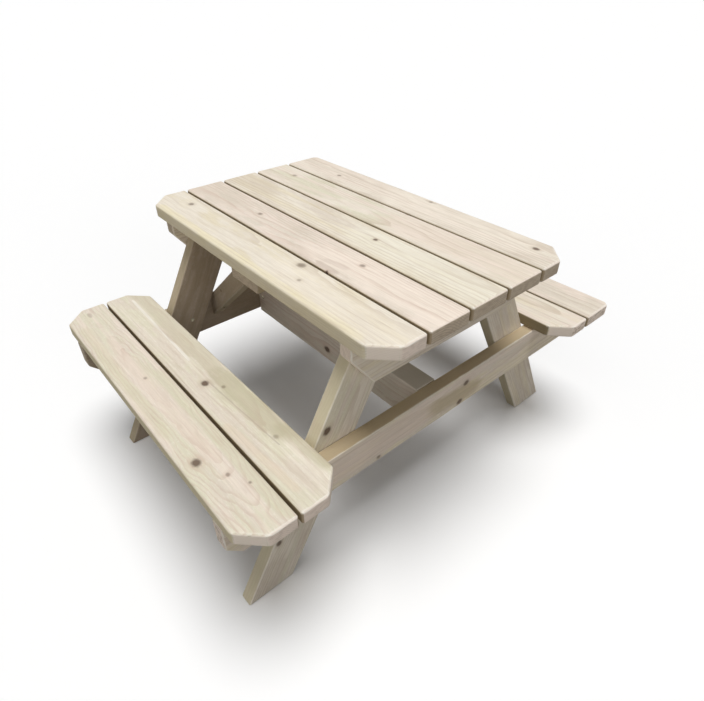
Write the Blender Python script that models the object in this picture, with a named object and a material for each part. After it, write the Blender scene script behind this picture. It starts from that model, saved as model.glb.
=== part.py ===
"""Children's picnic table in planed softwood: a slatted top and two benches on two A-frames.

Units are metres, +Z is up, and the table stands on z = 0 with its middle at the origin.
X runs along the boards, Y runs from the near bench (-Y) to the far bench (+Y).
"""
import math

import bmesh
import bpy
from mathutils import Vector

# Overall sizes
TABLE_HEIGHT = 0.550
SEAT_HEIGHT = 0.335
BOARD_LENGTH = 0.800
OVERALL_WIDTH = 1.010

# Boards of the top and the benches
BOARD_WIDTH = 0.095
BOARD_THICKNESS = 0.030
BOARD_GAP = 0.005
TOP_BOARDS = 5
BENCH_BOARDS = 2
CORNER_CLIP = 0.042
SMALL_CORNER_CLIP = 0.010

# End frames: the boards run past the outer face of the cross members by END_OVERHANG
END_OVERHANG = 0.075
FRAME_THICKNESS = 0.030
LEG_WIDTH = 0.090
LEG_ANGLE = math.radians(29.0)
FOOT_SPREAD = 0.956
SEAT_BEAM_DEPTH = 0.085
SEAT_BEAM_CHAMFER = (0.028, 0.030)
TOP_BEARER_DEPTH = 0.095
TOP_BEARER_INSET = 0.005
TOP_BEARER_CHAMFER = (0.052, 0.070)

# Members between the frames
RAIL_WIDTH = 0.056
RAIL_DEPTH = 0.092
RAIL_MIDDLE = -0.018
BATTEN_WIDTH = 0.095
BATTEN_THICKNESS = 0.030
BATTEN_INSET = 0.010
BRACE_DEPTH = 0.045
BRACE_THICKNESS = 0.030
BRACE_FOOT_DROP = 0.019
BRACE_HEAD_DROP = 0.016
BRACE_SCREW_HOLD = 0.025

# Countersunk wood screws
SCREW_LENGTH = 0.050
SCREW_DIAMETER = 0.005
SCREW_HEAD_DIAMETER = 0.0095
SCREW_HEAD_HEIGHT = 0.003
SCREW_TIP = 0.006
SCREW_SIDES = 8
SCREW_GRIP = 0.020
LEG_SCREW_SPREAD = 0.030
LEG_SCREW_MARGIN = 0.020
BEARER_SCREW_DROP = 0.045
TOE_SCREW_SETBACK = 0.022
TOE_SCREW_ANGLE = math.radians(40.0)

# Clearances and eased edges
FIT_GAP = 0.0003
BOARD_EASED_EDGE = 0.005
FRAME_EASED_EDGE = 0.003
EASED_SEGMENTS = 3

# Places worked out from the sizes above
PITCH = BOARD_WIDTH + BOARD_GAP
HALF_LENGTH = BOARD_LENGTH / 2
TOP_UNDERSIDE = TABLE_HEIGHT - BOARD_THICKNESS
SEAT_UNDERSIDE = SEAT_HEIGHT - BOARD_THICKNESS
TOP_HALF_WIDTH = (TOP_BOARDS * PITCH - BOARD_GAP) / 2
BENCH_CENTRE = OVERALL_WIDTH / 2 - (BENCH_BOARDS * PITCH - BOARD_GAP) / 2
FRAME_OUTER = HALF_LENGTH - END_OVERHANG
CROSS_INNER = FRAME_OUTER - FRAME_THICKNESS
CROSS_CENTRE = FRAME_OUTER - FRAME_THICKNESS / 2
LEG_OUTER = CROSS_INNER - FIT_GAP
LEG_INNER = LEG_OUTER - FRAME_THICKNESS
CROSS_MEMBER_TOP = TOP_UNDERSIDE - FIT_GAP
SEAT_BEAM_TOP = SEAT_UNDERSIDE - FIT_GAP
SEAT_BEAM_BOTTOM = SEAT_BEAM_TOP - SEAT_BEAM_DEPTH

SIDES = {"near": -1, "far": 1}
ENDS = {"left": -1, "right": 1}

# Two corners are cut much less than the others: (outer edge, end)
NEARLY_SQUARE = {("top_far", -1), ("far_bench_outer", 1)}

# Colours of the pressure-treated pine, from the tops' cream to the shaded frame
TOP_TINTS = ((0.80, 0.73, 0.58), (0.79, 0.71, 0.59), (0.81, 0.72, 0.60), (0.78, 0.72, 0.58))
BENCH_TINT = (0.74, 0.68, 0.50)
FRAME_TINT = (0.62, 0.55, 0.42)
WOOD_ROUGHNESS = 0.75
STEEL_TINT = (0.60, 0.58, 0.52)
STEEL_ROUGHNESS = 0.35


def clear_scene():
    for item in list(bpy.data.objects):
        bpy.data.objects.remove(item, do_unlink=True)


def material(name, colour, roughness, metallic=0.0):
    finish = bpy.data.materials.new(name)
    finish.use_nodes = True
    finish.diffuse_color = (*colour, 1.0)
    shader = finish.node_tree.nodes["Principled BSDF"]
    shader.inputs["Base Color"].default_value = (*colour, 1.0)
    shader.inputs["Roughness"].default_value = roughness
    shader.inputs["Metallic"].default_value = metallic
    return finish


def add_object(name, form, finish):
    mesh = bpy.data.meshes.new(name)
    form.to_mesh(mesh)
    form.free()
    mesh.materials.append(finish)
    piece = bpy.data.objects.new(name, mesh)
    bpy.context.collection.objects.link(piece)
    return piece


def timber(name, outline, run, tint, eased_edge=FRAME_EASED_EDGE):
    """A straight-grained piece: a flat outline extruded along the vector run, edges eased."""
    form = bmesh.new()
    face = form.faces.new([form.verts.new(corner) for corner in outline])
    grown = bmesh.ops.extrude_face_region(form, geom=[face])
    moved = [item for item in grown["geom"] if isinstance(item, bmesh.types.BMVert)]
    bmesh.ops.translate(form, verts=moved, vec=Vector(run))
    bmesh.ops.recalc_face_normals(form, faces=form.faces[:])
    piece = add_object(name, form, material(name + "_wood", tint, WOOD_ROUGHNESS))
    ease = piece.modifiers.new("eased_edges", "BEVEL")
    ease.width = eased_edge
    ease.segments = EASED_SEGMENTS
    ease.limit_method = "ANGLE"
    return piece


def board(name, middle, top, clips, tint):
    """A board along X. clips gives the corner cut at each (end, side); a missing one is square."""
    corners = []
    for end, side in ((-1, -1), (1, -1), (1, 1), (-1, 1)):
        x = end * HALF_LENGTH
        y = middle + side * BOARD_WIDTH / 2
        clip = clips.get((end, side), 0.0)
        if clip == 0.0:
            corners.append((x, y))
            continue
        cut = [(x, y - side * clip), (x - end * clip, y)]
        corners += cut if end == side else cut[::-1]
    outline = [(x, y, top - BOARD_THICKNESS) for x, y in corners]
    return timber(name, outline, (0, 0, BOARD_THICKNESS), tint, BOARD_EASED_EDGE)


def corner_clips(edge, side):
    """The cuts at both ends of an outer edge, for the board that carries it."""
    ends = ENDS.values()
    return {(end, side): SMALL_CORNER_CLIP if (edge, end) in NEARLY_SQUARE else CORNER_CLIP for end in ends}


def build_top():
    pieces = []
    for index in range(TOP_BOARDS):
        middle = (index - (TOP_BOARDS - 1) / 2) * PITCH
        clips = {}
        if index == 0:
            clips.update(corner_clips("top_near", -1))
        if index == TOP_BOARDS - 1:
            clips.update(corner_clips("top_far", 1))
        tint = TOP_TINTS[index % len(TOP_TINTS)]
        pieces.append(board(f"top_board_{index + 1}", middle, TABLE_HEIGHT, clips, tint))
    return pieces


def bench_board_centres():
    return [BENCH_CENTRE + (index - (BENCH_BOARDS - 1) / 2) * PITCH for index in range(BENCH_BOARDS)]


def build_benches():
    pieces = {}
    for side_name, side in SIDES.items():
        pieces[side_name] = []
        for index, distance in enumerate(bench_board_centres()):
            clips = {}
            if index == 0:
                clips.update(corner_clips(f"{side_name}_bench_inner", -side))
            if index == BENCH_BOARDS - 1:
                clips.update(corner_clips(f"{side_name}_bench_outer", side))
            name = f"{side_name}_bench_board_{index + 1}"
            pieces[side_name].append(board(name, side * distance, SEAT_HEIGHT, clips, BENCH_TINT))
    return pieces


def leg_outer_edge(height):
    """Distance from the middle plane to the outer edge of a leg at a height."""
    return FOOT_SPREAD / 2 - height * math.tan(LEG_ANGLE)


def leg_centre(height):
    return leg_outer_edge(height) - LEG_WIDTH / math.cos(LEG_ANGLE) / 2


def leg_inner_edge(height):
    return leg_outer_edge(height) - LEG_WIDTH / math.cos(LEG_ANGLE)


def build_leg(end_name, side_name):
    end = ENDS[end_name]
    side = SIDES[side_name]
    x = end * LEG_INNER
    top = CROSS_MEMBER_TOP
    outline = [
        (x, side * leg_outer_edge(0), 0),
        (x, side * leg_outer_edge(top), top),
        (x, side * leg_inner_edge(top), top),
        (x, side * leg_inner_edge(0), 0),
    ]
    return timber(f"{end_name}_{side_name}_leg", outline, (end * FRAME_THICKNESS, 0, 0), FRAME_TINT)


def cross_member(name, end, half_length, top, depth, chamfer):
    """A board on edge across the table, its lower corners cut off."""
    cut_y, cut_z = chamfer
    bottom = top - depth
    profile = [
        (-half_length, top),
        (half_length, top),
        (half_length, bottom + cut_z),
        (half_length - cut_y, bottom),
        (-half_length + cut_y, bottom),
        (-half_length, bottom + cut_z),
    ]
    outline = [(end * CROSS_INNER, y, z) for y, z in profile]
    return timber(name, outline, (end * FRAME_THICKNESS, 0, 0), FRAME_TINT)


def build_frame(end_name):
    end = ENDS[end_name]
    bearer_reach = TOP_HALF_WIDTH - TOP_BEARER_INSET
    bearer = cross_member(f"{end_name}_top_bearer", end, bearer_reach, CROSS_MEMBER_TOP,
                          TOP_BEARER_DEPTH, TOP_BEARER_CHAMFER)
    beam = cross_member(f"{end_name}_seat_beam", end, OVERALL_WIDTH / 2, SEAT_BEAM_TOP,
                        SEAT_BEAM_DEPTH, SEAT_BEAM_CHAMFER)
    legs = {side_name: build_leg(end_name, side_name) for side_name in SIDES}
    return {"bearer": bearer, "beam": beam, "legs": legs}


def build_rail():
    """The lengthwise rail on edge between the two seat beams, level with their tops."""
    reach = CROSS_INNER - FIT_GAP
    top = SEAT_BEAM_TOP
    bottom = top - RAIL_DEPTH
    y = RAIL_MIDDLE - RAIL_WIDTH / 2
    outline = [(-reach, y, bottom), (reach, y, bottom), (reach, y, top), (-reach, y, top)]
    return timber("centre_rail", outline, (0, RAIL_WIDTH, 0), FRAME_TINT)


def build_batten():
    """The flat batten that keeps the top boards level at mid-length."""
    reach = TOP_HALF_WIDTH - BATTEN_INSET
    half = BATTEN_WIDTH / 2
    z = CROSS_MEMBER_TOP - BATTEN_THICKNESS
    outline = [(-half, -reach, z), (half, -reach, z), (half, reach, z), (-half, reach, z)]
    return timber("centre_batten", outline, (0, 0, BATTEN_THICKNESS), FRAME_TINT)


def brace_ends():
    """The centre line's two ends: (x, z) at the left seat beam and at the centre batten."""
    foot = (-CROSS_INNER + FIT_GAP, SEAT_BEAM_TOP - BRACE_FOOT_DROP)
    head = (-BATTEN_WIDTH / 2 - FIT_GAP, CROSS_MEMBER_TOP - BRACE_HEAD_DROP)
    return foot, head


def brace_line(x, offset):
    """Height at x of a line along the brace, offset square to it from its centre line."""
    (foot_x, foot_z), (head_x, head_z) = brace_ends()
    angle = math.atan2(head_z - foot_z, head_x - foot_x)
    return foot_z + (x - foot_x) * math.tan(angle) + offset / math.cos(angle)


def brace_near_face():
    """The brace lies against the inner edge of the near leg, where its upper edge passes it."""
    crossing = brace_line(-LEG_INNER, BRACE_DEPTH / 2)
    return -leg_inner_edge(crossing) + FIT_GAP


def build_brace():
    """The diagonal from the left seat beam, beside the near leg, up to the centre batten."""
    (foot_x, foot_z), (head_x, head_z) = brace_ends()
    half = BRACE_DEPTH / 2
    top = CROSS_MEMBER_TOP
    slope = (head_z - foot_z) / (head_x - foot_x)
    meets_top_x = foot_x + (top - brace_line(foot_x, half)) / slope
    profile = [
        (foot_x, brace_line(foot_x, -half)),
        (head_x, brace_line(head_x, -half)),
        (head_x, top),
        (meets_top_x, top),
        (foot_x, brace_line(foot_x, half)),
    ]
    y = brace_near_face()
    outline = [(x, y, z) for x, z in profile]
    return timber("diagonal_brace", outline, (0, BRACE_THICKNESS, 0), FRAME_TINT)


def turned(form, start, direction, profile):
    """Adds a closed turned body: profile lists (distance along the axis, radius)."""
    axis = Vector(direction).normalized()
    across = axis.orthogonal().normalized()
    other = axis.cross(across)
    rings = []
    for distance, radius in profile:
        middle = Vector(start) + axis * distance
        if radius == 0.0:
            rings.append([form.verts.new(middle)])
            continue
        ring = []
        for step in range(SCREW_SIDES):
            angle = 2 * math.pi * step / SCREW_SIDES
            outward = across * math.cos(angle) + other * math.sin(angle)
            ring.append(form.verts.new(middle + outward * radius))
        rings.append(ring)
    form.faces.new(rings[0][::-1])
    for low, high in zip(rings, rings[1:]):
        for step in range(SCREW_SIDES):
            following = (step + 1) % SCREW_SIDES
            if len(high) == 1:
                form.faces.new((low[step], low[following], high[0]))
            else:
                form.faces.new((low[step], low[following], high[following], high[step]))
    if len(rings[-1]) > 1:
        form.faces.new(rings[-1])


def screw_profile():
    shank = SCREW_DIAMETER / 2
    return [
        (0.0, SCREW_HEAD_DIAMETER / 2),
        (SCREW_HEAD_HEIGHT, shank),
        (SCREW_LENGTH - SCREW_TIP, shank),
        (SCREW_LENGTH, 0.0),
    ]


def hole_profile(pocket):
    """The screw's clearance hole. pocket is how far it opens out in front of the head."""
    head = SCREW_HEAD_DIAMETER / 2 + FIT_GAP
    shank = SCREW_DIAMETER / 2 + FIT_GAP
    return [
        (-pocket, head),
        (0.0, head),
        (SCREW_HEAD_HEIGHT, shank),
        (SCREW_LENGTH + FIT_GAP, shank),
    ]


def fasten(name, start, direction, pieces, pocket, finish):
    """Drives one screw and cuts its hole in the pieces that it joins."""
    form = bmesh.new()
    turned(form, start, direction, screw_profile())
    add_object(name, form, finish)
    hole = bmesh.new()
    turned(hole, start, direction, hole_profile(pocket))
    cutter = add_object(name + "_hole", hole, finish)
    cutter.hide_render = True
    cutter.display_type = "WIRE"
    for piece in pieces:
        cut = piece.modifiers.new(cutter.name, "BOOLEAN")
        cut.operation = "DIFFERENCE"
        cut.solver = "EXACT"
        cut.object = cutter


def fasten_top(frames, batten, top, finish):
    """Screws up through the bearers and the batten, one into each top board at each of them."""
    head_z = CROSS_MEMBER_TOP + SCREW_GRIP - SCREW_LENGTH
    carriers = [("batten", 0.0, batten, BATTEN_THICKNESS)]
    for end_name, frame in frames.items():
        x = ENDS[end_name] * CROSS_CENTRE
        carriers.append((f"{end_name}_top", x, frame["bearer"], TOP_BEARER_DEPTH))
    for carrier_name, x, carrier, pocket in carriers:
        for index, piece in enumerate(top):
            y = (index - (TOP_BOARDS - 1) / 2) * PITCH
            name = f"{carrier_name}_screw_{index + 1}"
            fasten(name, (x, y, head_z), (0, 0, 1), [carrier, piece], pocket, finish)


def fasten_benches(frames, benches, finish):
    """Screws up through the seat beams, one into each bench board at each beam."""
    head_z = SEAT_BEAM_TOP + SCREW_GRIP - SCREW_LENGTH
    for end_name, frame in frames.items():
        for side_name, boards in benches.items():
            for index, distance in enumerate(bench_board_centres()):
                start = (ENDS[end_name] * CROSS_CENTRE, SIDES[side_name] * distance, head_z)
                name = f"{end_name}_{side_name}_bench_screw_{index + 1}"
                fasten(name, start, (0, 0, 1), [frame["beam"], boards[index]], SEAT_BEAM_DEPTH, finish)


def gap_line_near(distance):
    """The line under a gap between top boards that lies nearest, clear of the board screws."""
    shift = TOP_BOARDS % 2 / 2
    return (round(distance / PITCH - shift) + shift) * PITCH


def fasten_legs(end_name, frame, finish):
    """Screws from the inside through each leg, two into the seat beam and one into the bearer."""
    end = ENDS[end_name]
    x = end * (CROSS_INNER + SCREW_GRIP - SCREW_LENGTH)
    upper = SEAT_BEAM_TOP - LEG_SCREW_MARGIN
    lower = SEAT_BEAM_BOTTOM + LEG_SCREW_MARGIN
    bearer_height = CROSS_MEMBER_TOP - BEARER_SCREW_DROP
    for side_name, leg in frame["legs"].items():
        joints = [
            (frame["beam"], leg_centre(upper) - LEG_SCREW_SPREAD / 2, upper),
            (frame["beam"], leg_centre(lower) + LEG_SCREW_SPREAD / 2, lower),
            (frame["bearer"], gap_line_near(leg_centre(bearer_height)), bearer_height),
        ]
        for number, (carrier, distance, height) in enumerate(joints, start=1):
            start = (x, SIDES[side_name] * distance, height)
            name = f"{end_name}_{side_name}_leg_screw_{number}"
            fasten(name, start, (end, 0, 0), [leg, carrier], FRAME_THICKNESS, finish)


def fasten_rail(rail, frames, finish):
    """A slanting screw at each end, from opposite sides of the rail into the seat beams."""
    height = SEAT_BEAM_TOP - SEAT_BEAM_DEPTH / 2
    sink = SCREW_HEAD_DIAMETER / 2 / math.tan(TOE_SCREW_ANGLE)
    for end_name, end in ENDS.items():
        direction = Vector((math.cos(TOE_SCREW_ANGLE), -math.sin(TOE_SCREW_ANGLE), 0)) * end
        face_y = RAIL_MIDDLE + end * RAIL_WIDTH / 2
        mouth = Vector((end * (CROSS_INNER - TOE_SCREW_SETBACK), face_y, height))
        start = mouth + direction * sink
        pieces = [rail, frames[end_name]["beam"]]
        fasten(f"{end_name}_rail_screw", start, direction, pieces, TOE_SCREW_SETBACK, finish)


def fasten_brace(brace, beam, batten, finish):
    """Level screws from the brace's ends into the seat beam and into the batten's edge."""
    middle_y = brace_near_face() + BRACE_THICKNESS / 2
    foot = (-CROSS_INNER + BRACE_SCREW_HOLD, middle_y, SEAT_BEAM_TOP - BRACE_FOOT_DROP)
    head = (-BATTEN_WIDTH / 2 - BRACE_SCREW_HOLD, middle_y, CROSS_MEMBER_TOP - BATTEN_THICKNESS / 2)
    fasten("brace_foot_screw", foot, (-1, 0, 0), [brace, beam], BRACE_DEPTH, finish)
    fasten("brace_head_screw", head, (1, 0, 0), [brace, batten], BRACE_DEPTH, finish)


def main():
    clear_scene()
    top = build_top()
    benches = build_benches()
    frames = {end_name: build_frame(end_name) for end_name in ENDS}
    rail = build_rail()
    batten = build_batten()
    brace = build_brace()
    steel = material("screw_steel", STEEL_TINT, STEEL_ROUGHNESS, 1.0)
    fasten_top(frames, batten, top, steel)
    fasten_benches(frames, benches, steel)
    for end_name, frame in frames.items():
        fasten_legs(end_name, frame, steel)
    fasten_rail(rail, frames, steel)
    fasten_brace(brace, frames["left"]["beam"], batten, steel)


main()
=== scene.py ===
"""The children's picnic table: weathered pine, zinc-plated screws, floor, light and camera.

Every timber is a finer copy of its solid. Its material works in the timber's own frame, in which x
runs along the grain, y across the wide face and z out of that face, so that the growth rings, the
knots and the end grain belong to one log.
"""
import math
import random

import bmesh
import bpy
from mathutils import Matrix, Vector, noise


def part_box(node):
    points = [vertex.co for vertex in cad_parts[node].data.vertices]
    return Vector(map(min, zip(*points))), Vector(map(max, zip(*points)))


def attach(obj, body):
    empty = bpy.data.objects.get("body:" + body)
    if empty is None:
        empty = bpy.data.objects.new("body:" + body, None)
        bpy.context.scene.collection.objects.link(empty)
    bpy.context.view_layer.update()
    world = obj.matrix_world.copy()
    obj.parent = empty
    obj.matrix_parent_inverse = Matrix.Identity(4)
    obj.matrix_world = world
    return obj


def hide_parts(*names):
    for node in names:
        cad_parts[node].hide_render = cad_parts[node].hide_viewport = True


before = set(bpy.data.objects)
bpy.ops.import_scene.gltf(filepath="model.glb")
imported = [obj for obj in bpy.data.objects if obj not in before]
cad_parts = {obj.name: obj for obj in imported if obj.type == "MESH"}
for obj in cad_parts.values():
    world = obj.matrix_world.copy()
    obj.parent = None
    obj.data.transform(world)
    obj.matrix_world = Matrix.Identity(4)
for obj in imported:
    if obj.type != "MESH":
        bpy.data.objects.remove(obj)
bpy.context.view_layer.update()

# A timber's finer mesh, in metres: the grid that its flat faces are cut into, the waves that they
# get, the distance that the waves keep from a screw, and the widest face of a rounded edge
WELD = 0.00002
FLAT_ANGLE = math.radians(0.5)
SHARP_ANGLE = math.radians(42)
GRID_ALONG = 0.020
GRID_ACROSS = 0.019
CUT_SLACK = 1e-6
WAVE_SIZE = 0.070
WAVE_DEPTH = 0.0005
WAVE_OFFSET = (7.3, 3.1, 5.7)
SCREW_CLEAR = 0.012
ARRIS_WIDTH = 0.0022

# Which of a timber's two wide faces counts as its face: the one that looks more outwards
TIE_BREAK = 1e-6
OUTWARDS = (1, -1, 2)

# Camera, as it stood for the photograph
CAMERA_PLACE = (0.8218, -0.6643, 1.0080)
CAMERA_AZIMUTH = math.radians(49.566)
CAMERA_ELEVATION = math.radians(36.891)
CAMERA_ROLL = math.radians(-0.31)
PHOTO_WIDTH = 704
FOCAL_PIXELS = 530.85
SENSOR = 36.0

# Light. A lamp is (its part of the level at which a colour shows as it is written, its spread, the
# direction that it comes from, its tint). SKY_PART is the sky's part of that level, and FLOOR_BOUNCE
# the floor's colour for the light that it throws back on the table.
WHITE = (1.0, 1.0, 1.0)
LAMPS = {
    "key": (0.78, math.radians(36), (0.06, 0.02, 1.0), WHITE),
    "side_fill": (0.25, math.radians(50), (0.95, -0.16, 0.12), (1.0, 0.98, 0.98)),
    "front_fill": (0.15, math.radians(55), (0.10, -0.85, 0.55), (1.0, 1.0, 0.98)),
}
SKY_PART = 0.10
FLOOR_SIZE = 60
FLOOR_BOUNCE = (0.22, 0.21, 0.19)
FLOOR_ROUGHNESS = 0.9

# The wood's noises: (scale along x, y and z, detail, roughness)
NOISES = {
    "wander": ((2.6, 9.0, 9.0), 2.0, 0.5),
    "ripple": ((20.0, 45.0, 45.0), 2.0, 0.5),
    "swell": ((12.0, 14.0, 14.0), 1.0, 0.5),
    "zone": ((3.5, 20.0, 20.0), 2.0, 0.5),
    "cloud": ((9.0, 26.0, 26.0), 3.0, 0.6),
    "streak": ((2.4, 60.0, 60.0), 3.0, 0.55),
    "fibre": ((26.0, 420.0, 420.0), 3.0, 0.6),
    "thread": ((9.0, 170.0, 170.0), 2.0, 0.5),
    "fuzz": ((120.0, 260.0, 260.0), 2.0, 0.7),
    "mark_edge": ((18.0, 70.0, 70.0), 3.0, 0.6),
    "end_blotch": ((60.0, 80.0, 160.0), 3.0, 0.5),
    "knot_edge": ((130.0, 170.0, 170.0), 3.0, 0.5),
    "wear": ((28.0, 60.0, 60.0), 2.0, 0.5),
}
NOISE_OFFSET = (3.17, 1.71, 2.39)
NOISE_MIDDLE = 0.5

# Steps of the wood: (low, high), with the values there if they aren't 0 and 1. The first two are
# places within a growth ring, and the others levels of a noise.
LATE_RISE = (0.45, 0.93)
LATE_FALL = (1.0, 0.955)
ZONE = (0.38, 0.62, 0.30, 1.0)
CLOUD = (0.40, 0.60)
STREAK = (0.44, 0.66, 0.0, 0.8)
THREAD = (0.56, 0.78, 0.0, 0.34)
FIBRE = (0.30, 0.70, 0.16, 0.0)
FUZZ_LEVELS = (0.50, 0.72)
BLOTCH_LEVELS = (0.42, 0.64)
WORN_LEVELS = (0.35, 0.62)

# Steps by a face's normal: clipped corners, end grain, narrow faces, faces that look into a gap
# between boards, upright faces, and the arris round an end
CLIP_TURN = (0.50, 0.66, 0.0, 0.8)
END_TURN = (0.82, 0.95, 0.0, 0.85)
NARROW_TURN = (0.75, 0.95)
GAP_TURN = (0.25, 0.50)
UPRIGHT_TURN = (0.60, 0.25)
RIM_TURN = (0.15, 0.45, 0.0, 0.45)
# How much painted shade the faces that look into a gap between boards get
GAP_PAINTED_SHADE_SHARE = 0.85

# Grain: how deep the rings wander, and how a knot pushes them aside, in its own radii
WANDER_DEPTH = 0.012
KNOT_STRETCH = 1.25
PUSH = -0.8
PUSH_FADE_ALONG = -0.055
PUSH_FADE_ACROSS = -0.11

# A knot's steps by distance, in its own radii, and the shares of its darkness that they blend in
KNOT_RAGGED = 0.6
HALO_REACH = (2.8, 0.8)
RIM_REACH = (1.45, 0.55)
HEART_REACH = (0.75, 0.25)
HALO_SHARE = 0.45
HEART_SHARE = 0.55

# A mark's edge, in half widths: how ragged it is, how slowly it ends along the mark, and its step
MARK_RAGGED = 1.3
MARK_END = 0.5
MARK_REACH = (1.3, 0.5)

# Surface of the wood: the parts of latewood and fibre in the relief, its bump (strength, height), the
# roughness of early and late wood, and the specular level
LATE_RELIEF = 0.6
FIBRE_RELIEF = 0.7
WOOD_BUMP = (0.30, 0.0008)
WOOD_ROUGHNESS = (0.80, 0.68)
WOOD_SPECULAR = 0.25

# Zinc plate of the screws: scales and steps of its wear, and its roughness
STEEL_GRAIN_SCALE = (900.0, 900.0, 900.0)
TARNISH_SCALE = (120.0, 120.0, 120.0)
TARNISH = (0.35, 0.7)
STEEL_ROUGHNESS = (0.3, 0.7, 0.28, 0.5)

# Knots drawn for a timber without known ones: how many, their ranges of radius and darkness, and how
# far in from the ends and the edges they stay
SPARE_KNOTS = 2
SPARE_RADIUS = (0.0025, 0.005)
SPARE_DARKNESS = (0.25, 0.6)
SPARE_INSET = (0.85, 0.8)


def linear(red, green, blue):
    """An sRGB colour, 0 to 255, as linear values for a shader."""
    values = [channel / 255 for channel in (red, green, blue)]
    return tuple(v / 12.92 if v <= 0.04045 else ((v + 0.055) / 1.055) ** 2.4 for v in values)


class Graph:
    """Builds a material's nodes. Each method adds a node and returns its output socket."""

    def __init__(self, name):
        self.material = bpy.data.materials.new(name)
        self.material.use_nodes = True
        self.tree = self.material.node_tree
        self.shader = self.tree.nodes["Principled BSDF"]

    def feed(self, socket, value):
        if isinstance(value, bpy.types.NodeSocket):
            self.tree.links.new(value, socket)
        elif socket.type == "RGBA":
            socket.default_value = (*value, 1.0)
        else:
            socket.default_value = value

    def math(self, operation, first, second=0.0):
        node = self.tree.nodes.new("ShaderNodeMath")
        node.operation = operation
        self.feed(node.inputs[0], first)
        self.feed(node.inputs[1], second)
        return node.outputs[0]

    def total(self, *terms):
        result = terms[0]
        for term in terms[1:]:
            result = self.math("ADD", result, term)
        return result

    def product(self, *factors):
        result = factors[0]
        for factor in factors[1:]:
            result = self.math("MULTIPLY", result, factor)
        return result

    def length(self, vector):
        node = self.tree.nodes.new("ShaderNodeVectorMath")
        node.operation = "LENGTH"
        self.feed(node.inputs[0], vector)
        return node.outputs["Value"]

    def turned(self, vector, kind, turn, shift=(0.0, 0.0, 0.0), scale=(1.0, 1.0, 1.0)):
        """A vector scaled, then turned, then shifted."""
        node = self.tree.nodes.new("ShaderNodeMapping")
        node.vector_type = kind
        self.feed(node.inputs["Vector"], vector)
        node.inputs["Rotation"].default_value = turn
        node.inputs["Scale"].default_value = scale
        if kind == "POINT":
            node.inputs["Location"].default_value = shift
        return node.outputs[0]

    def split(self, vector):
        node = self.tree.nodes.new("ShaderNodeSeparateXYZ")
        self.feed(node.inputs[0], vector)
        return node.outputs

    def join(self, x, y, z):
        node = self.tree.nodes.new("ShaderNodeCombineXYZ")
        for socket, value in zip(node.inputs, (x, y, z)):
            self.feed(socket, value)
        return node.outputs[0]

    def noise(self, vector, detail=2.0, roughness=0.5):
        node = self.tree.nodes.new("ShaderNodeTexNoise")
        self.feed(node.inputs["Vector"], vector)
        node.inputs["Scale"].default_value = 1.0
        node.inputs["Detail"].default_value = detail
        node.inputs["Roughness"].default_value = roughness
        return node.outputs["Fac"]

    def step(self, value, low, high, to_low=0.0, to_high=1.0):
        """A smooth step of value from low to high."""
        node = self.tree.nodes.new("ShaderNodeMapRange")
        node.interpolation_type = "SMOOTHSTEP"
        for socket, entry in zip(node.inputs, (value, low, high, to_low, to_high)):
            self.feed(socket, entry)
        return node.outputs[0]

    def mix(self, factor, first, second):
        node = self.tree.nodes.new("ShaderNodeMix")
        node.data_type = "RGBA"
        self.feed(node.inputs["Factor"], factor)
        self.feed(node.inputs["A"], first)
        self.feed(node.inputs["B"], second)
        return node.outputs["Result"]

    def attribute(self, name):
        node = self.tree.nodes.new("ShaderNodeAttribute")
        node.attribute_name = name
        return node.outputs["Fac"]

    def coordinates(self, output):
        node = self.tree.nodes.new("ShaderNodeTexCoord")
        return node.outputs[output]

    def bump(self, height, strength, distance):
        node = self.tree.nodes.new("ShaderNodeBump")
        self.feed(node.inputs["Height"], height)
        node.inputs["Strength"].default_value = strength
        node.inputs["Distance"].default_value = distance
        return node.outputs[0]


# Colours of the wood and the screws
CREAM = linear(240, 231, 215)
PINK = linear(240, 226, 212)
GREEN = linear(226, 220, 197)
GREY = linear(227, 216, 200)
STRAW = linear(234, 223, 197)
SIDE = linear(214, 202, 166)
BEAM_SIDE = linear(187, 168, 135)
# Painted shade: a greyer, darker tint for the centre rail's narrow faces, whose top lies under the
# tabletop
RAIL_PAINTED_SHADE_SIDE = linear(190, 184, 170)
# Painted shade for the narrow faces of the far bench's inner board, which the top shades
PAINTED_SHADE_SIDE = linear(120, 105, 70)
# Painted shade for the faces that look into a gap between boards
GAP_PAINTED_SHADE = linear(156, 136, 104)
# Painted shade: the darker wood of the timbers under the top, and its lighter streaks
SHADE = linear(160, 144, 122)
SHADE_STREAK = linear(176, 160, 141)
LATE = linear(190, 170, 146)
ROSY_LATE = linear(200, 172, 152)
KNOT = linear(126, 106, 90)
KNOT_RIM = linear(88, 70, 58)
STAIN = linear(170, 156, 140)
PALE = linear(248, 243, 234)
OLIVE = linear(190, 183, 152)
DARK = linear(84, 70, 56)
TOP_END = linear(190, 175, 152)
BENCH_END = linear(244, 228, 214)
CLIP = linear(246, 233, 220)
END_LATE = linear(122, 102, 80)
END_DIRT = linear(158, 140, 118)
STEEL_BRIGHT = linear(206, 198, 170)
STEEL_DULL = linear(150, 142, 128)


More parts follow.
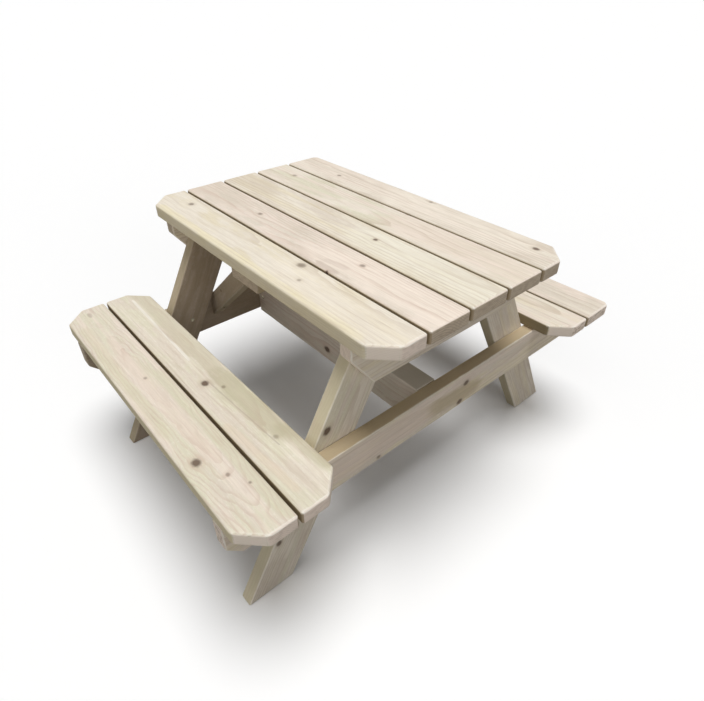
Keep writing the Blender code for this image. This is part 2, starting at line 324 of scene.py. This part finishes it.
class Wood:
    """One timber's material, in the timber's own frame."""

    def __init__(self, name, matrix, look, knots, marks, seed):
        self.graph = Graph(name)
        self.look = look
        self.offset = tuple(seed * part for part in NOISE_OFFSET)
        turn = matrix.inverted()
        angles = turn.to_euler("XYZ")
        place = self.graph.coordinates("Object")
        normal = self.graph.coordinates("Normal")
        self.place = self.graph.turned(place, "POINT", angles, turn.translation)
        self.normal = self.graph.turned(normal, "NORMAL", angles)
        self.knots = knots
        self.marks = marks

    def texture(self, name):
        """One of the wood's noises, different on each timber."""
        scale, detail, roughness = NOISES[name]
        stretched = self.graph.turned(self.place, "POINT", (0, 0, 0), self.offset, scale)
        return self.graph.noise(stretched, detail, roughness)

    def swing(self, name):
        """One of the wood's noises, about zero."""
        return self.graph.math("SUBTRACT", self.texture(name), NOISE_MIDDLE)

    def reach(self, knot):
        """Distances from a knot's axis, in its radii: the knot runs out of the wide face."""
        graph = self.graph
        (knot_x, knot_y, _), radius, _ = knot
        x, y, _ = graph.split(self.place)
        along = graph.math("DIVIDE", graph.math("SUBTRACT", x, knot_x), radius * KNOT_STRETCH)
        across = graph.math("DIVIDE", graph.math("SUBTRACT", y, knot_y), radius)
        return along, across, graph.length(graph.join(along, across, 0.0))

    def bent_grain(self, reaches):
        """The timber's y, pushed aside round the knots."""
        graph = self.graph
        _, bent, _ = graph.split(self.place)
        for (_, radius, _), (along, across, _) in zip(self.knots, reaches):
            fade_along = graph.product(along, along, PUSH_FADE_ALONG)
            fade_across = graph.product(across, across, PUSH_FADE_ACROSS)
            fade = graph.total(fade_along, fade_across)
            push = graph.product(graph.math("EXPONENT", fade), across, PUSH * radius)
            bent = graph.total(bent, push)
        return bent

    def rings(self, bent):
        """How much latewood there is at each place, 0 to 1."""
        graph = self.graph
        look = self.look
        x, _, z = graph.split(self.place)
        pith_y, pith_z = look["pith"]
        bow_at, bow = look["bow"]
        wander = self.swing("wander")
        ripple = self.swing("ripple")
        swell = self.swing("swell")
        from_bow = graph.math("SUBTRACT", x, bow_at)
        across = graph.total(bent, -pith_y, graph.product(wander, look["wander"]))
        tilt = graph.product(x, look["tilt"])
        depth = graph.total(z, -pith_z, tilt, graph.product(wander, WANDER_DEPTH))
        bowed = graph.product(from_bow, from_bow, bow)
        depth = graph.total(depth, bowed, graph.product(swell, look["swell"]))
        radius = graph.length(graph.join(0.0, across, depth))
        radius = graph.total(radius, graph.product(ripple, look["ripple"]))
        ring = graph.math("FRACT", graph.math("DIVIDE", radius, look["spacing"]))
        late = graph.product(graph.step(ring, *LATE_RISE), graph.step(ring, *LATE_FALL))
        return graph.product(late, graph.step(self.texture("zone"), *ZONE))

    def colour(self, late, fibre, reaches):
        """The wood's colour, from its tints to the wear of its edges."""
        graph = self.graph
        look = self.look
        first, second, third = look["tints"]
        colour = graph.mix(graph.step(self.texture("cloud"), *CLOUD), first, second)
        colour = graph.mix(graph.step(self.texture("streak"), *STREAK), colour, third)
        fuzz = graph.step(self.texture("fuzz"), *FUZZ_LEVELS, 0.0, look["fuzz"])
        colour = self.mark_colour(graph.mix(fuzz, colour, PALE))
        colour = graph.mix(graph.product(late, look["contrast"]), colour, look["late"])
        colour = graph.mix(graph.step(self.texture("thread"), *THREAD), colour, look["late"])
        colour = graph.mix(graph.step(fibre, *FIBRE), colour, STAIN)
        colour = self.end_colour(self.clip_colour(colour), late)
        colour = self.gap_shade_colour(self.narrow_colour(colour))
        return self.wear(self.knot_colour(colour, reaches))

    def mark_colour(self, colour):
        """Stains, pale streaks, bands of other wood, and painted light and shade at the ends of the
        top boards, each along a line on the wide face.
        """
        graph = self.graph
        ragged = graph.product(self.swing("mark_edge"), MARK_RAGGED)
        for start, end, width, tint, strength in self.marks:
            run = (end - start).xy
            turn = Matrix.Rotation(-math.atan2(run.y, run.x), 4, "Z")
            middle = turn @ ((start + end) / 2)
            spot = graph.turned(self.place, "POINT", turn.to_euler("XYZ"), -middle)
            along, across, _ = graph.split(spot)
            beyond = graph.total(graph.math("ABSOLUTE", along), -run.length / 2)
            beyond = graph.product(graph.math("MAXIMUM", beyond, 0.0), MARK_END)
            distance = graph.length(graph.join(beyond, across, 0.0))
            edge = graph.total(graph.math("DIVIDE", distance, width), ragged)
            colour = graph.mix(graph.step(edge, *MARK_REACH, 0.0, strength), colour, tint)
        return colour

    def facing(self, axis):
        """How far a face looks along an axis of the timber, either way, 0 to 1."""
        return self.graph.math("ABSOLUTE", self.graph.split(self.normal)[axis])

    def clip_colour(self, colour):
        """Paler wood on the clipped corners."""
        graph = self.graph
        flat = graph.math("SUBTRACT", 1.0, graph.attribute("arris"))
        clipped = graph.product(graph.step(self.facing(0), *CLIP_TURN), flat)
        return graph.mix(clipped, colour, CLIP)

    def end_colour(self, colour, late):
        """End grain, blotched with dirt, with the growth rings in it."""
        graph = self.graph
        blotch = graph.step(self.texture("end_blotch"), *BLOTCH_LEVELS, 0.0, self.look["end_dirt"])
        grain = graph.mix(blotch, self.look["end"], END_DIRT)
        grain = graph.mix(graph.product(late, self.look["end_rings"]), grain, END_LATE)
        return graph.mix(graph.step(self.facing(0), *END_TURN), colour, grain)

    def narrow_colour(self, colour):
        """The tint of the narrow faces."""
        narrow = self.graph.step(self.facing(1), *NARROW_TURN, 0.0, self.look["side"])
        return self.graph.mix(narrow, colour, self.look["side_tint"])

    def gap_shade_colour(self, colour):
        """Painted shade on the narrow faces that look into a board gap."""
        graph = self.graph
        across = graph.split(self.normal)[1]
        upright = graph.step(self.facing(2), *UPRIGHT_TURN)
        for side in self.look["gaps"]:
            low, high = (side * turn for turn in GAP_TURN)
            inside = graph.step(across, low, high, 0.0, GAP_PAINTED_SHADE_SHARE)
            colour = graph.mix(graph.product(inside, upright), colour, GAP_PAINTED_SHADE)
        return colour

    def knot_colour(self, colour, reaches):
        """Each knot's halo, rim and heart."""
        graph = self.graph
        ragged = graph.product(self.swing("knot_edge"), KNOT_RAGGED)
        for (_, _, darkness), (_, _, distance) in zip(self.knots, reaches):
            edge = graph.total(distance, ragged)
            halo = graph.step(edge, *HALO_REACH, 0.0, HALO_SHARE * darkness)
            rim = graph.step(edge, *RIM_REACH, 0.0, darkness)
            heart = graph.step(edge, *HEART_REACH, 0.0, HEART_SHARE * darkness)
            colour = graph.mix(halo, colour, self.look["late"])
            colour = graph.mix(rim, colour, KNOT_RIM)
            colour = graph.mix(heart, colour, KNOT)
        return colour

    def wear(self, colour):
        """Pale, fluffed wood along the arrises, most of all round the ends."""
        graph = self.graph
        spots = graph.step(self.texture("wear"), *WORN_LEVELS)
        outwards = graph.math("MAXIMUM", graph.split(self.normal)[2], 0.0)
        rim = graph.step(graph.product(self.facing(0), outwards), *RIM_TURN)
        worn = graph.total(graph.product(spots, self.look["wear"]), rim)
        return graph.mix(graph.product(graph.attribute("arris"), worn), colour, PALE)

    def build(self):
        graph = self.graph
        reaches = [self.reach(knot) for knot in self.knots]
        late = self.rings(self.bent_grain(reaches))
        fibre = self.texture("fibre")
        relief = graph.total(graph.product(late, LATE_RELIEF), graph.product(fibre, FIBRE_RELIEF))
        shader = graph.shader
        graph.feed(shader.inputs["Base Color"], self.colour(late, fibre, reaches))
        graph.feed(shader.inputs["Normal"], graph.bump(relief, *WOOD_BUMP))
        graph.feed(shader.inputs["Roughness"], graph.step(late, 0.0, 1.0, *WOOD_ROUGHNESS))
        shader.inputs["Specular IOR Level"].default_value = WOOD_SPECULAR
        return graph.material


def screw_steel():
    """Yellowish zinc plate with fine wear."""
    graph = Graph("screw_steel")
    place = graph.coordinates("Object")
    grain = graph.noise(graph.turned(place, "POINT", (0, 0, 0), scale=STEEL_GRAIN_SCALE), 3.0)
    tarnish = graph.noise(graph.turned(place, "POINT", (0, 0, 0), scale=TARNISH_SCALE))
    colour = graph.mix(graph.step(tarnish, *TARNISH), STEEL_BRIGHT, STEEL_DULL)
    graph.feed(graph.shader.inputs["Base Color"], colour)
    graph.feed(graph.shader.inputs["Roughness"], graph.step(grain, *STEEL_ROUGHNESS))
    graph.shader.inputs["Metallic"].default_value = 1.0
    return graph.material


def solid_form(node):
    """A node's faces as they were before they were cut into triangles."""
    form = bmesh.new()
    form.from_mesh(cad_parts[node].data)
    bmesh.ops.remove_doubles(form, verts=form.verts[:], dist=WELD)
    bmesh.ops.dissolve_limit(form, angle_limit=FLAT_ANGLE, verts=form.verts[:], edges=form.edges[:])
    form.normal_update()
    return form


def face_rank(face):
    """A face's area, with the outward one of two equal faces a little ahead."""
    return face.calc_area() + TIE_BREAK * face.normal.dot(OUTWARDS)


def timber_frame(node, form):
    """A timber's own frame: x along its longest edge, z out of its widest face."""
    longest = max(form.edges, key=lambda edge: edge.calc_length())
    along = (longest.verts[1].co - longest.verts[0].co).normalized()
    if max(along, key=abs) < 0:
        along.negate()
    low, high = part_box(node)
    middle = (low + high) / 2
    widest = max(form.faces, key=face_rank)
    out = widest.normal - along * widest.normal.dot(along)
    out.normalize()
    turn = Matrix((along, out.cross(along), out)).transposed()
    return Matrix.Translation(middle) @ turn.to_4x4()


def cut_grid(form, matrix):
    """Cuts the flat faces along and across the grain, so that they can be made uneven."""
    inverse = matrix.inverted()
    for axis, step in ((0, GRID_ALONG), (1, GRID_ACROSS)):
        places = [(inverse @ vert.co)[axis] for vert in form.verts]
        low, high = min(places), max(places)
        count = max(2, round((high - low) / step))
        normal = matrix.col[axis].to_3d()
        for index in range(1, count):
            point = matrix.translation + normal * (low + (high - low) * index / count)
            parts = form.verts[:] + form.edges[:] + form.faces[:]
            bmesh.ops.bisect_plane(form, geom=parts, plane_co=point, plane_no=normal, dist=CUT_SLACK)


def near_screw(point, screw_lines):
    return any((point - tip).cross(direction).length < SCREW_CLEAR for tip, direction in screw_lines)


def roughen(form, seed, screw_lines):
    """Sinks the planed faces and arrises by slight waves, away from the screws."""
    offset = Vector([seed * part for part in WAVE_OFFSET])
    shifts = []
    for vert in form.verts:
        if not near_screw(vert.co, screw_lines):
            wave = noise.noise(vert.co / WAVE_SIZE + offset)
            shifts.append((vert, vert.normal * (-0.5 * (1 + wave) * WAVE_DEPTH)))
    for vert, shift in shifts:
        vert.co += shift


def mark_arrises(form, mesh):
    """Marks the narrow faces of the rounded edges, where the wood wears pale."""
    values = []
    for face in form.faces:
        longest = max(edge.calc_length() for edge in face.edges)
        values.append(1.0 if face.calc_area() / longest < ARRIS_WIDTH else 0.0)
    mark = mesh.attributes.new("arris", "FLOAT", "FACE")
    mark.data.foreach_set("value", values)


def is_screw(node):
    return "screw" in node


def screw_line(node):
    """A screw's tip and axis, read from its solid."""
    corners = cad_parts[node].data.vertices
    spots = {tuple(round(value, 6) for value in corner.co) for corner in corners}
    points = [Vector(spot) for spot in sorted(spots)]
    middle = sum(points, Vector()) / len(points)
    tip = max(points, key=lambda point: (point - middle).length)
    return tip, (middle - tip).normalized()


def timber_knots(node, inverse, seed):
    """A timber's knots in its own frame, known or spare."""
    known = KNOTS.get(node, [])
    if known:
        return [(inverse @ Vector(place), radius, darkness) for place, radius, darkness in known]
    return spare_knots(node, inverse, seed)


def timber_marks(node, inverse):
    """A timber's marks in its own frame."""
    return [(inverse @ Vector(start), inverse @ Vector(end), *rest)
            for start, end, *rest in MARKS.get(node, [])]


def dress_timber(node, look, seed, screw_lines):
    """The finer copy of a timber's solid, with its wood."""
    form = solid_form(node)
    matrix = timber_frame(node, form)
    cut_grid(form, matrix)
    form.normal_update()
    roughen(form, seed, screw_lines)
    mesh = bpy.data.meshes.new(node + "_timber")
    form.to_mesh(mesh)
    mark_arrises(form, mesh)
    form.free()
    mesh.shade_smooth()
    mesh.set_sharp_from_angle(angle=SHARP_ANGLE)
    inverse = matrix.inverted()
    knots = timber_knots(node, inverse, seed)
    wood = Wood(node + "_wood", matrix, look, knots, timber_marks(node, inverse), seed)
    mesh.materials.append(wood.build())
    piece = bpy.data.objects.new(node + "_timber", mesh)
    bpy.context.scene.collection.objects.link(piece)
    even = piece.modifiers.new("even_shading", "WEIGHTED_NORMAL")
    even.keep_sharp = True
    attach(piece, "root")
    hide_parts(node)


# Looks: what most timbers have, and then how each one differs
PLAIN_LOOK = {
    "contrast": 0.42,
    "late": LATE,
    "wander": 0.020,
    "ripple": 0.0020,
    "bow": (0.0, 0.0),
    "side": 0.45,
    "side_tint": SIDE,
    "wear": 0.30,
    "end": TOP_END,
    "end_dirt": 0.6,
    "end_rings": 0.55,
    "gaps": (),
    "fuzz": 0.3,
    "swell": 0.0,
}


def wood_look(tints, spacing, pith, tilt, **changes):
    """How one timber's wood looks: its tints, its rings, and what differs from the plain look.

    spacing is the distance between rings, and pith is the log's middle, across and behind the wide
    face, from which the log leans by tilt. bow is where along the timber the pith lies nearest to that
    face, and how fast it draws away. swell is how much the rings bulge, which makes closed loops. gaps
    tells which of the narrow faces, -1 or 1 along y, look into the gap beside the next board.
    """
    return {**PLAIN_LOOK, "tints": tints, "spacing": spacing, "pith": pith, "tilt": tilt, **changes}


# Painted shade: a darker, flatter look for the timbers deep under the top, whose wood is the same as
# the others'
SHADED = wood_look((SHADE, SHADE_STREAK, SHADE), 0.0044, (0.014, -0.055), 0.012, contrast=0.30,
                   side=0.3, wear=0.1, fuzz=0.08)
PALE_END = {"end": BENCH_END, "end_dirt": 0.2, "end_rings": 0.2}
LOOKS = {
    "top_board_1": wood_look((CREAM, STRAW, CREAM), 0.0040, (0.020, -0.085), 0.006, contrast=0.34,
                             gaps=(1,), **PALE_END),
    "top_board_2": wood_look((PINK, GREY, PINK), 0.0044, (-0.034, -0.072), -0.008, contrast=0.40,
                             late=ROSY_LATE, gaps=(-1, 1)),
    "top_board_3": wood_look((GREY, CREAM, STRAW), 0.0039, (0.030, -0.095), 0.006, contrast=0.36,
                             gaps=(-1, 1)),
    "top_board_4": wood_look((CREAM, GREEN, PINK), 0.0042, (-0.026, -0.080), 0.009, contrast=0.36,
                             gaps=(-1, 1)),
    "top_board_5": wood_look((CREAM, GREY, PINK), 0.0040, (0.034, -0.090), -0.006, contrast=0.36,
                             gaps=(-1,)),
    "near_bench_board_1": wood_look((GREY, GREEN, CREAM), 0.0042, (0.012, -0.070), 0.012,
                                    contrast=0.36, wander=0.03, ripple=0.003, side=0.55, gaps=(-1,),
                                    **PALE_END),
    "near_bench_board_2": wood_look((GREY, GREEN, PINK), 0.0038, (0.005, -0.034), 0.0, contrast=0.33,
                                    late=ROSY_LATE, ripple=0.0045, bow=(-0.03, 0.08), swell=0.011,
                                    side=0.75, gaps=(1,), **PALE_END),
    # Its narrow faces carry painted shade from the top
    "far_bench_board_1": wood_look((CREAM, PINK, STRAW), 0.0044, (0.018, -0.074), 0.010, side=0.85,
                                   side_tint=PAINTED_SHADE_SIDE, end=BENCH_END, end_rings=0.2, gaps=(1,)),
    "far_bench_board_2": wood_look((PINK, GREY, CREAM), 0.0043, (-0.022, -0.082), -0.010,
                                   end=BENCH_END, end_rings=0.2, gaps=(-1,)),
    "right_near_leg": wood_look((GREY, CREAM, GREEN), 0.0046, (0.006, -0.048), 0.018, contrast=0.34,
                                side=0.6, end=BENCH_END, end_rings=0.2),
    "right_seat_beam": wood_look((GREY, STRAW, PINK), 0.0046, (0.012, -0.060), 0.012, side=0.9,
                                 side_tint=BEAM_SIDE, end=BENCH_END, end_rings=0.2),
    "right_top_bearer": wood_look((CREAM, GREY, STRAW), 0.0046, (0.014, -0.055), 0.012, side=0.6,
                                  **PALE_END),
    # Its narrow faces carry painted shade from the tabletop
    "centre_rail": wood_look((GREY, PINK, CREAM), 0.0044, (-0.020, -0.066), -0.010, late=ROSY_LATE,
                             side=0.8, side_tint=RAIL_PAINTED_SHADE_SIDE),
    # The timbers deep under the top wear the painted shade look
    "centre_batten": SHADED,
    "left_near_leg": SHADED,
    "left_seat_beam": SHADED,
    "diagonal_brace": SHADED,
}
FRAME_LOOKS = (
    wood_look((CREAM, GREY, STRAW), 0.0046, (0.014, -0.055), 0.012, side=0.6),
    wood_look((GREY, PINK, CREAM), 0.0042, (-0.020, -0.066), -0.010, late=ROSY_LATE, side=0.6),
    wood_look((PINK, CREAM, GREY), 0.0050, (0.006, -0.048), 0.018, late=ROSY_LATE, side=0.6),
)

# Knots: (place on the table, radius, darkness). They are where the photograph shows them, apart from
# those on the part of the far bench that the top hides.
TOP_Z = 0.55
SEAT_Z = 0.335
KNOTS = {
    "top_board_1": [
        ((-0.305, -0.183, TOP_Z), 0.0058, 0.55),
        ((0.099, -0.169, TOP_Z), 0.0075, 0.55),
        ((0.141, -0.205, TOP_Z), 0.0035, 0.35),
    ],
    "top_board_2": [
        ((-0.154, -0.095, TOP_Z), 0.0050, 0.50),
        ((0.174, -0.086, TOP_Z), 0.0048, 0.50),
        ((0.146, -0.149, TOP_Z), 0.0035, 1.00),
    ],
    "top_board_3": [
        ((0.109, 0.006, TOP_Z), 0.0042, 0.85),
    ],
    "top_board_4": [
        ((-0.308, 0.108, TOP_Z), 0.0055, 0.38),
        ((0.062, 0.146, TOP_Z), 0.0030, 0.90),
    ],
    "top_board_5": [
        ((-0.232, 0.194, TOP_Z), 0.0045, 0.50),
        ((0.046, 0.236, TOP_Z), 0.0045, 0.40),
        ((0.342, 0.211, TOP_Z), 0.0055, 0.80),
    ],
    "near_bench_board_1": [
        ((0.032, -0.370, SEAT_Z), 0.0065, 0.90),
        ((0.065, -0.347, SEAT_Z), 0.0040, 0.40),
        ((0.242, -0.345, SEAT_Z), 0.0045, 0.30),
    ],
    "near_bench_board_2": [
        ((0.205, -0.478, SEAT_Z), 0.0075, 0.85),
        ((-0.060, -0.451, SEAT_Z), 0.0035, 0.35),
        ((0.261, -0.451, SEAT_Z), 0.0035, 0.45),
        ((0.298, -0.432, SEAT_Z), 0.0025, 0.45),
    ],
    "right_seat_beam": [
        ((0.325, 0.077, 0.276), 0.0065, 0.80),
        ((0.325, 0.063, 0.231), 0.0065, 0.85),
        ((0.325, -0.175, 0.229), 0.0040, 0.55),
    ],
    "far_bench_board_1": [
        ((-0.21, 0.372, SEAT_Z), 0.0050, 0.60),
    ],
    "far_bench_board_2": [
        ((-0.30, 0.440, SEAT_Z), 0.0045, 0.50),
        ((0.05, 0.470, SEAT_Z), 0.0055, 0.65),
    ],
    "right_near_leg": [
        ((0.2947, -0.273, 0.341), 0.0072, 0.95),
        ((0.2947, -0.396, 0.128), 0.0055, 0.80),
    ],
    "centre_rail": [
        ((0.004, -0.046, 0.2435), 0.0075, 0.95),
    ],
}

# Marks seen in the photograph: (start, end, half width, tint, strength)
MARKS = {
    "top_board_1": [
        ((-0.33, -0.238, TOP_Z), (0.33, -0.238, TOP_Z), 0.009, linear(242, 231, 192), 0.55),
        # Painted light: the top is paler towards its right end, where the light is stronger
        ((0.12, -0.20, TOP_Z), (0.40, -0.20, TOP_Z), 0.040, linear(250, 240, 223), 0.55),
    ],
    "top_board_2": [
        # Painted light: the paler right end
        ((0.14, -0.10, TOP_Z), (0.40, -0.10, TOP_Z), 0.045, linear(253, 239, 224), 0.70),
        ((0.116, -0.138, TOP_Z), (0.158, -0.139, TOP_Z), 0.007, linear(180, 160, 145), 0.40),
        ((0.118, -0.121, TOP_Z), (0.155, -0.116, TOP_Z), 0.008, linear(204, 187, 174), 0.35),
        # Painted shade: the darker left end
        ((-0.40, -0.100, TOP_Z), (-0.28, -0.100, TOP_Z), 0.040, linear(212, 200, 182), 0.40),
    ],
    "top_board_3": [
        # Painted shade at the left end, and painted light at the right end
        ((-0.40, 0.0, TOP_Z), (-0.30, 0.0, TOP_Z), 0.040, linear(210, 196, 176), 0.42),
        ((0.12, 0.0, TOP_Z), (0.40, 0.0, TOP_Z), 0.045, linear(248, 243, 225), 0.60),
    ],
    "top_board_4": [
        ((0.058, 0.147, TOP_Z), (0.072, 0.147, TOP_Z), 0.0025, DARK, 0.85),
        # Painted light: the paler right end
        ((0.12, 0.10, TOP_Z), (0.40, 0.10, TOP_Z), 0.045, linear(242, 226, 211), 0.60),
    ],
    "top_board_5": [
        ((0.036, 0.236, TOP_Z), (0.058, 0.236, TOP_Z), 0.0035, KNOT, 0.30),
        # Painted light: paler towards the right
        ((0.00, 0.20, TOP_Z), (0.28, 0.20, TOP_Z), 0.045, linear(250, 240, 225), 0.55),
    ],
    "near_bench_board_1": [
        ((-0.37, -0.331, SEAT_Z), (-0.02, -0.331, SEAT_Z), 0.024, linear(205, 198, 172), 0.60),
        ((0.05, -0.336, SEAT_Z), (0.22, -0.330, SEAT_Z), 0.024, OLIVE, 0.70),
        ((0.24, -0.324, SEAT_Z), (0.34, -0.318, SEAT_Z), 0.013, OLIVE, 0.55),
        ((0.03, -0.362, SEAT_Z), (0.26, -0.351, SEAT_Z), 0.0016, STAIN, 0.45),
        ((-0.36, -0.3525, SEAT_Z), (-0.06, -0.3585, SEAT_Z), 0.0032, PALE, 0.60),
        ((0.17, -0.395, SEAT_Z), (0.35, -0.385, SEAT_Z), 0.008, linear(230, 212, 190), 0.50),
    ],
    "near_bench_board_2": [
        ((-0.05, -0.424, SEAT_Z), (0.37, -0.420, SEAT_Z), 0.013, linear(217, 213, 184), 0.55),
        ((-0.30, -0.485, SEAT_Z), (0.10, -0.488, SEAT_Z), 0.012, linear(218, 210, 180), 0.45),
        ((-0.22, -0.456, SEAT_Z), (0.20, -0.451, SEAT_Z), 0.013, linear(233, 217, 201), 0.60),
        ((0.21, -0.453, SEAT_Z), (0.33, -0.447, SEAT_Z), 0.006, PINK, 0.50),
        ((-0.366, -0.455, SEAT_Z), (-0.360, -0.455, SEAT_Z), 0.0050, STAIN, 0.50),
    ],
    "right_seat_beam": [
        ((0.325, -0.01, 0.262), (0.325, 0.09, 0.250), 0.022, linear(176, 157, 106), 0.52),
        ((0.325, -0.28, 0.262), (0.325, -0.08, 0.262), 0.030, linear(238, 221, 206), 0.65),
    ],
}


def spare_knots(node, inverse, seed):
    """Small knots for a timber without known ones, drawn the same way each time."""
    low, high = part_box(node)
    draw = random.Random(seed)
    inset_x, inset_y = SPARE_INSET
    found = []
    for _ in range(SPARE_KNOTS):
        place = Vector([draw.uniform(a, b) for a, b in zip(low, high)])
        x, y, z = inverse @ place
        radius = draw.uniform(*SPARE_RADIUS)
        darkness = draw.uniform(*SPARE_DARKNESS)
        found.append((Vector((x * inset_x, y * inset_y, z)), radius, darkness))
    return found


def dress_timbers():
    screws = [screw_line(node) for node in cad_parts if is_screw(node)]
    timbers = sorted(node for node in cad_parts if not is_screw(node))
    for seed, node in enumerate(timbers, start=1):
        look = LOOKS.get(node) or FRAME_LOOKS[seed % len(FRAME_LOOKS)]
        dress_timber(node, look, seed, screws)


def dress_screws():
    finish = screw_steel()
    for node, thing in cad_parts.items():
        if is_screw(node):
            thing.data.materials.clear()
            thing.data.materials.append(finish)


def add_floor():
    """A pale floor. Rays that light the table meet it darker than the camera does."""
    mesh = bpy.data.meshes.new("floor")
    form = bmesh.new()
    bmesh.ops.create_grid(form, x_segments=1, y_segments=1, size=FLOOR_SIZE)
    form.to_mesh(mesh)
    form.free()
    floor = bpy.data.objects.new("floor", mesh)
    bpy.context.scene.collection.objects.link(floor)
    graph = Graph("floor_paint")
    rays = graph.tree.nodes.new("ShaderNodeLightPath")
    kinds = ("Camera", "Glossy", "Transmission")
    seen = graph.total(*(rays.outputs[f"Is {kind} Ray"] for kind in kinds))
    colour = graph.mix(graph.math("MINIMUM", seen, 1.0), FLOOR_BOUNCE, WHITE)
    graph.feed(graph.shader.inputs["Base Color"], colour)
    graph.shader.inputs["Roughness"].default_value = FLOOR_ROUGHNESS
    graph.shader.inputs["Specular IOR Level"].default_value = 0.0
    mesh.materials.append(graph.material)


def add_lamp(name, part, spread, towards, tint):
    """A distant lamp, broad enough for soft shadows."""
    lamp = bpy.data.lights.new(name, "SUN")
    lamp.energy = part * math.pi
    lamp.angle = spread
    lamp.color = tint
    holder = bpy.data.objects.new(name, lamp)
    holder.rotation_euler = Vector(towards).to_track_quat("Z", "Y").to_euler()
    bpy.context.scene.collection.objects.link(holder)


def add_sky():
    """An even sky for the table, which the camera sees as white."""
    world = bpy.data.worlds.new("sky")
    bpy.context.scene.world = world
    world.use_nodes = True
    tree = world.node_tree
    sky = tree.nodes["Background"]
    sky.inputs["Color"].default_value = (*WHITE, 1.0)
    sky.inputs["Strength"].default_value = SKY_PART
    white = tree.nodes.new("ShaderNodeBackground")
    white.inputs["Color"].default_value = (*WHITE, 1.0)
    rays = tree.nodes.new("ShaderNodeLightPath")
    seen = rays.outputs["Is Camera Ray"]
    for kind in ("Glossy", "Transmission"):
        either = tree.nodes.new("ShaderNodeMath")
        either.operation = "MAXIMUM"
        tree.links.new(seen, either.inputs[0])
        tree.links.new(rays.outputs[f"Is {kind} Ray"], either.inputs[1])
        seen = either.outputs[0]
    choose = tree.nodes.new("ShaderNodeMixShader")
    tree.links.new(seen, choose.inputs[0])
    tree.links.new(sky.outputs[0], choose.inputs[1])
    tree.links.new(white.outputs[0], choose.inputs[2])
    tree.links.new(choose.outputs[0], tree.nodes["World Output"].inputs["Surface"])


def add_camera():
    """The camera at the photograph's place, angle and field of view."""
    lens = bpy.data.cameras.new("camera")
    lens.sensor_width = SENSOR
    lens.lens = FOCAL_PIXELS * SENSOR / PHOTO_WIDTH
    camera = bpy.data.objects.new("camera", lens)
    flat = math.cos(CAMERA_ELEVATION)
    back = Vector((
        math.sin(CAMERA_AZIMUTH) * flat,
        -math.cos(CAMERA_AZIMUTH) * flat,
        math.sin(CAMERA_ELEVATION),
    ))
    right = Vector((0, 0, 1)).cross(back).normalized()
    turn = Matrix((right, back.cross(right), back)).transposed()
    turn = turn @ Matrix.Rotation(CAMERA_ROLL, 3, "Z")
    camera.matrix_world = Matrix.Translation(CAMERA_PLACE) @ turn.to_4x4()
    bpy.context.scene.collection.objects.link(camera)
    bpy.context.scene.camera = camera


dress_timbers()
dress_screws()
add_floor()
for lamp_name, source in LAMPS.items():
    add_lamp(lamp_name, *source)
add_sky()
add_camera()
bpy.context.scene.view_settings.view_transform = "Standard"
